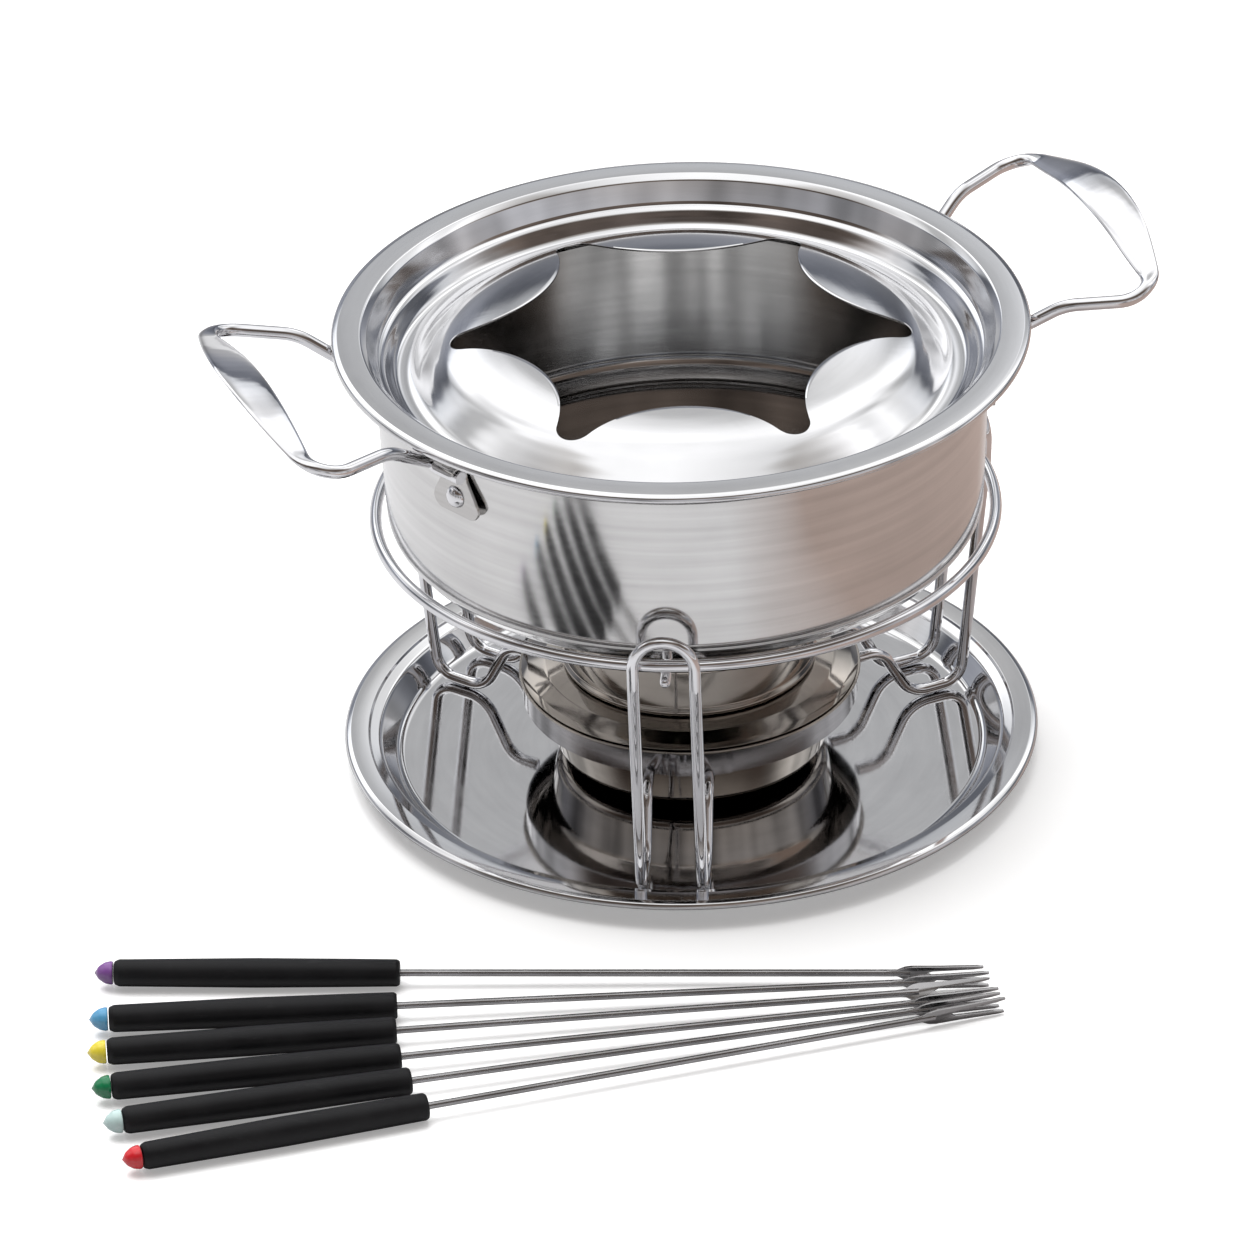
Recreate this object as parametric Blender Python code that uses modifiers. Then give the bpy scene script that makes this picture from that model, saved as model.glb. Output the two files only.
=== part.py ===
"""Fondue pot set: tray, wire stand, burner, pot, star lid and six forks. Metres, +Z up, origin under the tray."""

import math

import bmesh
import bpy
from mathutils import Matrix, Vector

MM = 0.001

# Tray
TRAY_RADIUS = 100.1
TRAY_RIM_HEIGHT = 8.8
TRAY_SHEET = 0.8
TRAY_FLOOR_RADIUS = 83.5

# Wire stand
STAND_RING_RADIUS = 88.3
STAND_RING_WIRE = 3.6
STAND_RING_HEIGHT = 79.3
LEG_WIRE = 3.4
LEG_HALF_SPACING = 8.6
LEG_TOP_RADIUS = 92.3
LEG_FOOT_RADIUS = 83.2
LEG_ARM_FOOT_RADIUS = 66.6
LEG_ARM_TOP_RADIUS = 57.6
LEG_ARM_END_RADIUS = 48.8
LEG_ARM_END_HEIGHT = 19.6
LEG_ARCH_HEIGHT = 89.2
LEG_ANGLES = {"front": -94.5, "right": 25.5, "left": 145.5}
PIN_DIAMETER = 3.0
PIN_INNER_RADIUS = 77.0
PIN_OUTER_RADIUS = 89.5
BAND_RADIUS = 48.9
BAND_THICKNESS = 1.0
BAND_BOTTOM = 19.2
BAND_TOP = 26.2

# Pot
POT_FLOOR = 76.4
POT_SHEET = 0.8
POT_WALL_FOOT = 84.9
POT_WALL_TOP = 87.0
POT_MOUTH_HEIGHT = 138.1

# Lid
LID_RADIUS = 98.7
LID_HEIGHT = 138.0
LID_SHEET = 0.6
STAR_TIP_RADIUS = 5.3
STAR_TIP_CENTRE = 59.7
STAR_PETAL_RADIUS = 38.4
STAR_PETAL_CENTRE = 83.7

# Handles
HANDLE_ANGLES = {"right": 21.3, "left": 201.3}
HANDLE_WIRE = 3.8
HANDLE_SEAT_HEIGHT = 128.4
HANDLE_RISE = (101.5, 37.0, 140.0)
HANDLE_CORNER = (126.3, 48.4, 142.2)
HANDLE_CREST = (131.5, 0.0, 154.0)
HANDLE_BEND_RADII = (3.0, 15.0, 9.0, 93.0)
BLADE_HALF_LENGTH = 45.0
BLADE_WIDTH = 12.6
BLADE_THICKNESS = 1.5
BRACKET_ANGLE = 22.7
BRACKET_WIDTH = 18.0
BRACKET_CURL_WIDTH = 8.4
BRACKET_FOOT = 114.4
BRACKET_SHEET = 1.0
RIVET_HEIGHT = 119.8
RIVET_HEAD = 6.6
RIVET_SHANK = 3.0
RIVET_BORE = 3.7

# Burner
BOWL_RADIUS = 41.2
BOWL_FOOT_RADIUS = 38.9
BOWL_BOTTOM = 3.8
BOWL_SHEET = 0.8
COLLAR_RADIUS = 48.6
CAP_RADIUS = 36.4
CAP_FOOT = 31.0
CAP_TOP = 51.0
CAP_HOLE_RADIUS = 14.0

# Forks
FORK_GRIP_LENGTH = 79.5
FORK_GRIP_DIAMETER = 8.3
FORK_SHAFT_DIAMETER = 2.0
FORK_NECK_HEIGHT = 3.46
FORK_HEAD_LENGTH = 24.5
FORK_HEAD_WIDTH = 5.2
FORK_HEAD_SHEET = 0.8
FORK_GAP = 0.3

BIG_STEPS = 48
MID_STEPS = 36

PARTS = bpy.data.collections.new("fondue_set")
CUTTERS = bpy.data.collections.new("cutters")


def clear_scene():
    for old in list(bpy.data.objects):
        bpy.data.objects.remove(old, do_unlink=True)
    bpy.context.scene.collection.children.link(PARTS)
    bpy.context.scene.collection.children.link(CUTTERS)
    CUTTERS.hide_render = True


def material(name, colour, metallic, roughness):
    made = bpy.data.materials.new(name)
    made.use_nodes = True
    shader = made.node_tree.nodes["Principled BSDF"]
    shader.inputs["Base Color"].default_value = (*colour, 1.0)
    shader.inputs["Metallic"].default_value = metallic
    shader.inputs["Roughness"].default_value = roughness
    return made


def put(name, mesh, finish, cutter=False):
    made = bpy.data.objects.new(name, mesh)
    (CUTTERS if cutter else PARTS).objects.link(made)
    if finish is not None:
        mesh.materials.append(finish)
    if cutter:
        made.hide_render = True
        made.display_type = "WIRE"
    return made


def smooth(mesh, degrees=40):
    mesh.shade_smooth()
    mesh.set_sharp_from_angle(angle=math.radians(degrees))


def offset(points, distance):
    """The polyline moved sideways: to the right of its own direction for a positive distance."""
    moved = []
    for i, (x, z) in enumerate(points):
        before = points[max(i - 1, 0)]
        after = points[min(i + 1, len(points) - 1)]
        first = Vector((x - before[0], z - before[1]))
        second = Vector((after[0] - x, after[1] - z))
        first = first.normalized() if first.length > 1e-9 else second.normalized()
        second = second.normalized() if second.length > 1e-9 else first
        one = Vector((first.y, -first.x))
        two = Vector((second.y, -second.x))
        miter = (one + two).normalized()
        reach = distance / max(miter.dot(one), 0.5)
        moved.append((max(x + miter.x * reach, 0.0), z + miter.y * reach))
    return moved


def fillet(corner, before, after, radius, steps=4):
    """Points that round one corner, in two or three dimensions."""
    c = Vector(corner)
    a = (Vector(before) - c).normalized()
    b = (Vector(after) - c).normalized()
    half = a.angle(b) / 2
    centre = c + (a + b).normalized() * (radius / math.sin(half))
    reach = radius / math.tan(half)
    start = c + a * reach - centre
    end = c + b * reach - centre
    spread = start.angle(end)
    made = []
    for i in range(steps + 1):
        t = i / steps
        weight_a = math.sin((1 - t) * spread) / math.sin(spread)
        weight_b = math.sin(t * spread) / math.sin(spread)
        made.append(centre + start * weight_a + end * weight_b)
    return made


def bent(points, radii, steps=4):
    """Straight runs between the points, with each inner point rounded to its own radius."""
    made = [Vector(points[0])]
    for i, radius in enumerate(radii):
        made += fillet(points[i + 1], points[i], points[i + 2], radius, steps)
    made.append(Vector(points[-1]))
    return made


def lathe(name, profile, finish, steps, ring=False, cutter=False):
    """A turned solid. The profile is in millimetres and runs down its outer side; a ring's profile is closed."""
    mesh = bpy.data.meshes.new(name)
    edges = [(i, i + 1) for i in range(len(profile) - 1)]
    if ring:
        edges.append((len(profile) - 1, 0))
    mesh.from_pydata([(x * MM, 0, z * MM) for x, z in profile], edges, [])
    made = put(name, mesh, finish, cutter)
    screw = made.modifiers.new("turn", "SCREW")
    screw.axis = "Z"
    screw.angle = math.tau
    screw.steps = steps
    screw.render_steps = steps
    screw.use_merge_vertices = True
    screw.merge_threshold = 0.00001
    screw.use_smooth_shade = True
    screw.use_normal_calculate = False
    return made


def settle(made, degrees=40):
    """Turns an object's modifiers into its mesh, with consistent outward faces."""
    graph = bpy.context.evaluated_depsgraph_get()
    mesh = bpy.data.meshes.new_from_object(made.evaluated_get(graph))
    made.modifiers.clear()
    made.data = mesh
    shape = bmesh.new()
    shape.from_mesh(mesh)
    bmesh.ops.remove_doubles(shape, verts=shape.verts, dist=0.000002)
    bmesh.ops.recalc_face_normals(shape, faces=shape.faces)
    shape.to_mesh(mesh)
    shape.free()
    smooth(mesh, degrees)
    return made


def cut(made, cutter, operation="DIFFERENCE"):
    boolean = made.modifiers.new("cut", "BOOLEAN")
    boolean.operation = operation
    boolean.solver = "EXACT"
    boolean.object = cutter
    return boolean


def as_mesh(made, finish=None, cutter=False):
    """Swaps a curve object for the same shape as a welded mesh, so that a Boolean can use it."""
    bpy.context.view_layer.update()
    graph = bpy.context.evaluated_depsgraph_get()
    mesh = bpy.data.meshes.new_from_object(made.evaluated_get(graph))
    shape = bmesh.new()
    shape.from_mesh(mesh)
    bmesh.ops.remove_doubles(shape, verts=shape.verts, dist=0.000002)
    bmesh.ops.recalc_face_normals(shape, faces=shape.faces)
    shape.to_mesh(mesh)
    shape.free()
    smooth(mesh)
    name = made.name
    place = made.matrix_world.copy()
    bpy.data.objects.remove(made, do_unlink=True)
    mesh.materials.clear()
    solid = put(name, mesh, finish, cutter)
    solid.matrix_world = place
    return solid


def wire(name, path, diameter, finish, closed=False, resolution=2):
    """A round wire: a curve along the path, in millimetres, with filled ends."""
    curve = bpy.data.curves.new(name, "CURVE")
    curve.dimensions = "3D"
    curve.fill_mode = "FULL"
    curve.bevel_depth = diameter / 2 * MM
    curve.bevel_resolution = resolution
    curve.use_fill_caps = not closed
    spline = curve.splines.new("POLY")
    spline.points.add(len(path) - 1)
    for point, place in zip(spline.points, path):
        point.co = (place.x * MM, place.y * MM, place.z * MM, 1.0)
    spline.use_cyclic_u = closed
    spline.use_smooth = True
    return put(name, curve, finish)


def plate(name, outline, thickness, finish, height=0.0):
    """A flat outline in the local XY plane, in millimetres, given its thickness about the local Z."""
    curve = bpy.data.curves.new(name, "CURVE")
    curve.dimensions = "2D"
    curve.fill_mode = "BOTH"
    curve.extrude = thickness / 2 * MM
    spline = curve.splines.new("POLY")
    spline.points.add(len(outline) - 1)
    for point, (x, y) in zip(spline.points, outline):
        point.co = (x * MM, y * MM, 0.0, 1.0)
    spline.use_cyclic_u = True
    made = put(name, curve, finish)
    made.location.z = height * MM
    return made


def rod(name, radius, low, high, sides, place, finish=None, cutter=True):
    """A plain cylinder along the local X, from low to high, in millimetres."""
    shape = bmesh.new()
    bmesh.ops.create_cone(
        shape, cap_ends=True, segments=sides, radius1=radius * MM, radius2=radius * MM, depth=(high - low) * MM
    )
    lay = Matrix.Translation(((high + low) / 2 * MM, 0, 0)) @ Matrix.Rotation(math.pi / 2, 4, "Y")
    bmesh.ops.transform(shape, matrix=lay, verts=shape.verts)
    bmesh.ops.recalc_face_normals(shape, faces=shape.faces)
    mesh = bpy.data.meshes.new(name)
    shape.to_mesh(mesh)
    shape.free()
    smooth(mesh)
    made = put(name, mesh, finish, cutter)
    made.matrix_world = place
    return made


def loft(name, path, sides, finish, section):
    """A bar whose section changes along the path: section gives half width, half thickness and the way up."""
    shape = bmesh.new()
    rings = []
    last = len(path) - 1
    for i, p in enumerate(path):
        tangent = (path[min(i + 1, last)] - path[max(i - 1, 0)]).normalized()
        half_width, half_height, up = section(i)
        side = tangent.cross(up).normalized()
        lift = side.cross(tangent).normalized()
        ring = []
        for k in range(sides):
            turn = math.tau * (k + 0.5) / sides
            spot = p + side * (half_width * math.cos(turn)) + lift * (half_height * math.sin(turn))
            ring.append(shape.verts.new(spot * MM))
        rings.append(ring)
    for one, two in zip(rings, rings[1:]):
        for k in range(sides):
            shape.faces.new((one[k], one[(k + 1) % sides], two[(k + 1) % sides], two[k]))
    shape.faces.new(list(reversed(rings[0])))
    shape.faces.new(rings[-1])
    bmesh.ops.recalc_face_normals(shape, faces=shape.faces)
    mesh = bpy.data.meshes.new(name)
    shape.to_mesh(mesh)
    shape.free()
    smooth(mesh, 50)
    return put(name, mesh, finish)


def arc(centre, radius, start, end, steps):
    found = []
    for i in range(steps + 1):
        a = math.radians(start + (end - start) * i / steps)
        found.append((centre[0] + radius * math.cos(a), centre[1] + radius * math.sin(a)))
    return found


def turned(degrees, along=0.0, across=0.0, height=0.0):
    """Places a local frame: X outwards at that angle round the pot, Y sideways."""
    place = Matrix.Translation((along * MM, across * MM, height * MM))
    return Matrix.Rotation(math.radians(degrees), 4, "Z") @ place


def build_tray(steel):
    rim = TRAY_RIM_HEIGHT
    floor = TRAY_SHEET
    top = [(0, floor), (TRAY_FLOOR_RADIUS, floor)]
    top += [(85.4, 1.4), (87.2, 3.2), (89.2, 6.4), (92.4, 7.4), (93.2, 8.3)]
    top += [(98.2, rim), (99.7, rim - 0.6)]
    edge = [(TRAY_RADIUS, rim - 1.6), (99.2, rim - 2.4)]
    under = [(97.6, rim - 0.9), (93.6, 7.4), (92.6, 6.6), (88.8, 5.5)]
    under += [(87.0, 2.1), (85.9, 0.7), (84.2, 0.0), (0, 0)]
    lathe("tray", top + edge + under, steel, BIG_STEPS)


def build_stand(chrome):
    ring = []
    for i in range(BIG_STEPS):
        a = math.tau * i / BIG_STEPS
        ring.append(Vector((math.cos(a), math.sin(a), 0)) * STAND_RING_RADIUS + Vector((0, 0, STAND_RING_HEIGHT)))
    wire("stand_ring", ring, STAND_RING_WIRE, chrome, closed=True)

    profile = [
        (BAND_RADIUS, BAND_TOP),
        (BAND_RADIUS, BAND_BOTTOM),
        (BAND_RADIUS - BAND_THICKNESS, BAND_BOTTOM),
        (BAND_RADIUS - BAND_THICKNESS, BAND_TOP),
    ]
    lathe("burner_band", profile, chrome, MID_STEPS, ring=True)

    half = LEG_HALF_SPACING
    foot = TRAY_SHEET + FORK_GAP + LEG_WIRE / 2
    spring = LEG_ARCH_HEIGHT - half
    corners = [
        (LEG_TOP_RADIUS, spring),
        (LEG_TOP_RADIUS - 0.3, spring - 6.6),
        (LEG_FOOT_RADIUS, foot),
        (LEG_ARM_FOOT_RADIUS, foot),
        (LEG_ARM_TOP_RADIUS, LEG_ARM_END_HEIGHT),
        (LEG_ARM_END_RADIUS, LEG_ARM_END_HEIGHT),
    ]
    side = bent(corners, (20.0, 6.5, 9.0, 8.0))[1:]
    for name, degrees in LEG_ANGLES.items():
        path = [Vector((u, half, z)) for u, z in reversed(side)]
        for i in range(7):
            a = math.pi * i / 6
            path.append(Vector((LEG_TOP_RADIUS, half * math.cos(a), spring + half * math.sin(a))))
        path += [Vector((u, -half, z)) for u, z in side]
        leg = wire("stand_leg_" + name, path, LEG_WIRE, chrome)
        leg.matrix_world = turned(degrees)

        line = [Vector((PIN_INNER_RADIUS, 0, 0)), Vector((PIN_OUTER_RADIUS, 0, 0))]
        pin = wire("pot_support_pin_" + name, line, PIN_DIAMETER, chrome)
        height = POT_FLOOR - POT_SHEET - FORK_GAP - PIN_DIAMETER / 2
        pin.matrix_world = turned(degrees, height=height)


def build_pot(steel):
    floor = POT_FLOOR
    inner = [(0, floor)]
    inner += fillet((POT_WALL_FOOT - POT_SHEET - 0.2, floor), (0, floor), (86.2, 130.2), 6.0)
    inner += [(86.25, 130.2), (86.95, 131.5), (89.35, 137.1), (89.8, 137.8), (90.6, POT_MOUTH_HEIGHT)]
    lip = [(93.1, POT_MOUTH_HEIGHT), (93.9, 137.6), (94.1, 136.9), (93.8, 136.0), (92.9, 135.7)]
    lip += [(92.3, 136.3), (91.2, 137.2)]
    low = floor - POT_SHEET
    outer = [(90.4, 136.9), (87.85, 131.3), (POT_WALL_TOP, 130.1)]
    outer += fillet((POT_WALL_FOOT - 0.3, low), (POT_WALL_TOP, 130.1), (0, low), 6.8)
    outer += [(0, low)]
    pot = lathe("pot", inner + lip + outer, steel, BIG_STEPS)
    for facing, around in HANDLE_ANGLES.items():
        for hand, turn in (("a", -BRACKET_ANGLE), ("b", BRACKET_ANGLE)):
            place = turned(around + turn, height=RIVET_HEIGHT)
            cut(pot, rod("bore_" + facing + "_" + hand, RIVET_BORE / 2, 80, 95, 12, place))


def star_outline():
    """The six-pointed opening: round petals reach in between rounded tips."""
    found = []
    for k in range(6):
        tip = math.radians(60 * k)
        petal = math.radians(60 * k + 30)
        tip_centre = Vector((math.cos(tip), math.sin(tip))) * STAR_TIP_CENTRE
        petal_centre = Vector((math.cos(petal), math.sin(petal))) * STAR_PETAL_CENTRE
        before = math.radians(60 * k - 30)
        before_centre = Vector((math.cos(before), math.sin(before))) * STAR_PETAL_CENTRE
        start = before_centre - tip_centre
        end = petal_centre - tip_centre
        a = math.degrees(math.atan2(start.y, start.x))
        b = math.degrees(math.atan2(end.y, end.x))
        while b < a:
            b += 360
        found += arc(tip_centre, STAR_TIP_RADIUS, a, b, 6)
        start = tip_centre - petal_centre
        after = math.radians(60 * k + 60)
        end = Vector((math.cos(after), math.sin(after))) * STAR_TIP_CENTRE - petal_centre
        a = math.degrees(math.atan2(start.y, start.x))
        b = math.degrees(math.atan2(end.y, end.x))
        while b > a:
            b -= 360
        reach = STAR_PETAL_CENTRE - petal_centre.length + STAR_PETAL_RADIUS
        found += arc(petal_centre, reach, a, b, 10)[1:-1]
    return found


def build_lid(steel):
    top = [(40.0, 138.0), (52.0, 137.0), (59.5, 135.8), (65.8, 133.9)]
    top += [(73.0, 128.8), (75.6, 126.9), (78.0, 126.4), (80.6, 126.7), (83.6, 130.2)]
    top += [(85.4, 131.1), (86.2, 132.2), (88.4, 137.5), (89.2, 138.6), (90.4, 139.1)]
    top += [(96.6, 138.9), (98.0, 138.4), (LID_RADIUS, 137.7), (98.6, 137.0)]
    under = offset(top[:-3], LID_SHEET)
    edge = [(97.9, 136.8), (97.5, 137.3)]
    lid = lathe("splash_guard_lid", top + edge + list(reversed(under)), steel, BIG_STEPS, ring=True)
    star = plate("star_cutter", star_outline(), 30.0, None, height=135.0)
    cut(lid, as_mesh(star, cutter=True))


def handle_path():
    """The wire's centre line: out of one curl, up past the lid, round the grip and back to the other curl."""
    around = math.radians(BRACKET_ANGLE)
    seat_radius = POT_WALL_TOP + 0.35 + BRACKET_SHEET + HANDLE_WIRE / 2 + FORK_GAP
    seat = Vector((math.cos(around), math.sin(around), 0)) * seat_radius + Vector((0, 0, HANDLE_SEAT_HEIGHT))
    along = Vector((math.sin(around), -math.cos(around), 0))
    half = [seat - along * 5.0, seat + along * 7.6, Vector(HANDLE_RISE), Vector(HANDLE_CORNER)]
    other = [Vector((p.x, -p.y, p.z)) for p in reversed(half)]
    radii = HANDLE_BEND_RADII + HANDLE_BEND_RADII[-2::-1]
    return bent(half + [Vector(HANDLE_CREST)] + other, radii)


def build_handles(chrome):
    path = handle_path()
    reach = [0.0]
    for one, two in zip(path, path[1:]):
        reach.append(reach[-1] + (two - one).length)
    radius = HANDLE_WIRE / 2

    def section(i):
        spread = max(0.0, 1.0 - (abs(reach[i] - reach[-1] / 2) / BLADE_HALF_LENGTH) ** 2)
        flat = min(spread / 0.35, 1.0)
        flat = flat * flat * (3 - 2 * flat)
        half_width = radius + (BLADE_WIDTH / 2 - radius) * spread
        half_height = radius - flat * (radius - BLADE_THICKNESS / 2)
        up = Vector((-0.18 * flat, 0, 1)).normalized()
        return half_width, half_height, up

    for facing, degrees in HANDLE_ANGLES.items():
        handle = loft("handle_" + facing, path, 8, chrome, section)
        handle.matrix_world = turned(degrees)
        for hand, turn in (("a", -BRACKET_ANGLE), ("b", BRACKET_ANGLE)):
            build_bracket(facing + "_" + hand, degrees + turn, chrome)


def build_bracket(name, degrees, chrome):
    """A strap lying on the wall, broad at its foot and curling over the handle wire, with its rivet."""
    inside = POT_WALL_TOP + 0.35
    radius = HANDLE_WIRE / 2 + FORK_GAP
    thick = BRACKET_SHEET
    centre = (inside + thick + radius, HANDLE_SEAT_HEIGHT)
    outline = [(inside, BRACKET_FOOT), (inside + thick, BRACKET_FOOT)]
    outline += arc(centre, radius, 180, 20, 8)
    outline += arc(centre, radius + thick, 20, 180, 8)
    strap = plate("handle_bracket_" + name, outline, BRACKET_WIDTH, None)
    strap.matrix_world = turned(degrees) @ Matrix.Rotation(math.pi / 2, 4, "X")
    strap = as_mesh(strap, chrome)

    broad = BRACKET_WIDTH / 2
    narrow = BRACKET_CURL_WIDTH / 2
    foot = BRACKET_FOOT - 0.2
    low = [(foot, broad - 3.0), (foot + 1.0, broad - 1.0), (foot + 3.0, broad - 0.2)]
    high = [(foot + 5.0, broad - 0.3), (foot + 10.5, narrow + 1.0), (foot + 12.0, narrow), (foot + 20.0, narrow)]
    front = [(-y, z) for z, y in low + high] + [(y, z) for z, y in reversed(low + high)]
    trim = plate("strap_front_" + name, front, 12.0, None)
    trim.matrix_world = turned(degrees, along=inside + 3.0) @ Matrix.Rotation(math.pi / 2, 4, "Z") @ \
        Matrix.Rotation(math.pi / 2, 4, "X")
    cut(strap, as_mesh(trim, cutter=True), "INTERSECT")
    place = turned(degrees, height=RIVET_HEIGHT)
    cut(strap, rod("strap_bore_" + name, RIVET_BORE / 2, 80, 95, 12, place))

    head = RIVET_HEAD / 2
    shank = RIVET_SHANK / 2
    face = inside + thick + FORK_GAP
    wall_inside = POT_WALL_TOP - 0.55 - POT_SHEET - FORK_GAP
    profile = [(0, face + 1.7)]
    profile += [(head * 0.45, face + 1.5), (head * 0.82, face + 0.9), (head, face)]
    profile += [(shank, face), (shank, wall_inside), (2.6, wall_inside), (2.6, wall_inside - 0.7)]
    profile += [(0, wall_inside - 0.7)]
    rivet = lathe("handle_rivet_" + name, profile, chrome, 12)
    lay = Matrix(((0, 0, 1, 0), (0, 1, 0, 0), (-1, 0, 0, 0), (0, 0, 0, 1)))
    rivet.matrix_world = turned(degrees, height=RIVET_HEIGHT) @ lay


def build_burner(steel, bright, felt, mesh_metal):
    top = BAND_TOP + FORK_GAP
    sheet = BOWL_SHEET
    low = BOWL_BOTTOM
    wall = [(BOWL_FOOT_RADIUS, low), (BOWL_RADIUS, 17.0), (43.6, 22.6), (47.2, top)]
    inner = [(0, low + sheet)]
    inner += fillet((wall[0][0] - sheet, low + sheet), (0, low + sheet), (wall[1][0] - sheet, 17.0), 2.6, 3)
    inner += [(r - sheet, z) for r, z in wall[1:3]] + [(46.8, top + sheet), (COLLAR_RADIUS + 0.6, top + sheet)]
    outer = [(COLLAR_RADIUS + 0.6, top)] + wall[:0:-1]
    outer += fillet(wall[0], wall[1], (0, low), 3.2, 3) + [(0, low)]
    lathe("burner_bowl", inner + outer, steel, MID_STEPS)

    seat = top + 0.8 + FORK_GAP
    collar = [(34.2, 31.4), (37.0, 31.0), (41.8, 30.2), (46.6, 28.6), (COLLAR_RADIUS, seat + 0.2)]
    collar += [(COLLAR_RADIUS - 0.4, seat), (46.2, seat), (41.0, 29.4), (36.6, 30.2)]
    collar += [(33.4, 30.6), (33.4, 36.0), (34.2, 36.0)]
    lathe("burner_collar", collar, steel, MID_STEPS, ring=True)

    wadding = [(0, 22.0), (38.4, 22.0), (39.4, 21.0), (39.4, 15.6), (36.6, 8.0), (33.6, 5.0), (0, 5.0)]
    lathe("burner_wadding", wadding, felt, 24)
    gauze = [(0, 23.1), (39.2, 23.1), (39.2, 22.4), (0, 22.4)]
    lathe("burner_gauze", gauze, mesh_metal, 24)

    foot = CAP_FOOT + 0.6
    roof = CAP_TOP
    r = CAP_RADIUS
    hole = CAP_HOLE_RADIUS
    cap = [(hole, roof + 0.5), (29.5, roof), (33.6, roof - 2.0), (35.4, roof - 5.6)]
    cap += [(r - 0.5, foot + 2.2), (r + 0.5, foot + 1.2), (r + 0.1, foot)]
    cap += [(r - 0.9, foot), (r - 1.2, foot + 2.4), (34.6, roof - 5.8), (32.9, roof - 2.7)]
    cap += [(29.2, roof - 0.8), (hole, roof - 0.3)]
    turner = lathe("burner_regulator_cap", cap, bright, MID_STEPS, ring=True)
    for k in range(8):
        vent = arc((26.2, 0), 1.9, -90, 90, 4) + arc((19.8, 0), 1.9, 90, 270, 4)
        slot = plate("vent_%d" % k, vent, 10.0, None)
        slot.matrix_world = turned(22.5 + 45 * k, height=CAP_TOP)
        cut(turner, as_mesh(slot, cutter=True))

    tab = [(37.2, -4.0), (43.0, -4.0), (46.5, -2.6), (47.3, 0.0), (46.5, 2.6), (43.0, 4.0), (37.2, 4.0)]
    piece = plate("burner_regulator_tab", tab, 1.2, bright)
    piece.matrix_world = turned(90, height=39.6)


def build_fork(number, butt, neck, roll, cap_finish, grip_finish, steel):
    """A fork lying on the table: coloured cap, moulded grip, round shaft and a flat two-tined head."""
    rest = FORK_GRIP_DIAMETER / 2 + 0.45
    low = FORK_NECK_HEIGHT
    start = Vector((butt[0], butt[1], rest))
    end = Vector((neck[0], neck[1], low))
    length = (end - start).length
    along = (end - start).normalized()
    side = Vector((0, 0, 1)).cross(along).normalized()
    up = along.cross(side)
    place = Matrix.Translation(start * MM) @ Matrix((along, side, up)).transposed().to_4x4()
    spin = Matrix(((0, 0, 1, 0), (0, 1, 0, 0), (-1, 0, 0, 0), (0, 0, 0, 1)))
    label = "fork_%d_" % number

    r = FORK_GRIP_DIAMETER / 2
    far = FORK_GRIP_LENGTH
    bore = FORK_SHAFT_DIAMETER / 2 + FORK_GAP
    grip = [(0, far - 6.0), (bore, far - 6.0), (bore, far), (r - 1.0, far), (r - 0.5, far - 0.7)]
    grip += [(r - 0.2, far - 14), (r, far - 40), (r - 0.4, 1.2), (r - 1.2, 0), (0, 0)]
    grip_part = lathe(label + "grip", grip, grip_finish, 12)
    grip_part.matrix_world = place @ spin

    back = -FORK_GAP
    cap = [(0, back), (r - 0.8, back), (r - 1.1, back - 2.2), (r - 2.2, back - 4.0), (0, back - 5.1)]
    cap_part = lathe(label + "cap", cap, cap_finish, 12)
    cap_part.matrix_world = place @ spin

    half = FORK_HEAD_WIDTH / 2
    tine = FORK_HEAD_LENGTH
    head = [(-3.0, -0.55), (0.6, -0.6), (2.6, -half * 0.86), (4.4, -half), (12, -half), (tine - 1.0, -half - 0.35)]
    head += [(tine, -half + 0.1), (tine - 3.0, -half + 0.75), (9.6, -0.75), (8.6, -0.4), (8.6, 0.4), (9.6, 0.75)]
    head += [(tine - 3.0, half - 0.75), (tine, half - 0.1), (tine - 1.0, half + 0.35), (12, half)]
    head += [(4.4, half), (2.6, half * 0.86), (0.6, 0.6), (-3.0, 0.55)]
    turn = Matrix.Rotation(math.radians(roll), 4, "X")
    blade = plate(label + "blade", head, FORK_HEAD_SHEET, None)
    blade.matrix_world = place @ Matrix.Translation((length * MM, 0, 0)) @ turn
    blade = as_mesh(blade, cutter=True)
    radius = FORK_SHAFT_DIAMETER / 2
    shaft = rod(label + "steel", radius, far - 5.4, length + 0.2, 8, place, steel, cutter=False)
    cut(shaft, blade, "UNION")


def build_forks(steel, grip):
    rows = [
        ("purple", (0.20, 0.07, 0.30), (-162.0, -121.0), (54.6, -129.8), 104),
        ("light_blue", (0.16, 0.50, 0.80), (-162.5, -144.3), (56.0, -134.9), 104),
        ("yellow", (0.80, 0.70, 0.10), (-162.3, -160.7), (56.4, -140.2), 36),
        ("green", (0.01, 0.20, 0.08), (-160.4, -178.1), (58.4, -145.5), 104),
        ("pale", (0.62, 0.74, 0.74), (-156.6, -194.9), (59.0, -149.4), 104),
        ("red", (0.72, 0.04, 0.06), (-150.8, -212.5), (60.6, -153.5), 104),
    ]
    for i, (name, colour, butt, neck, roll) in enumerate(rows):
        finish = material("fork_cap_" + name, colour, 0.0, 0.25)
        build_fork(i + 1, butt, neck, roll, finish, grip, steel)


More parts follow.
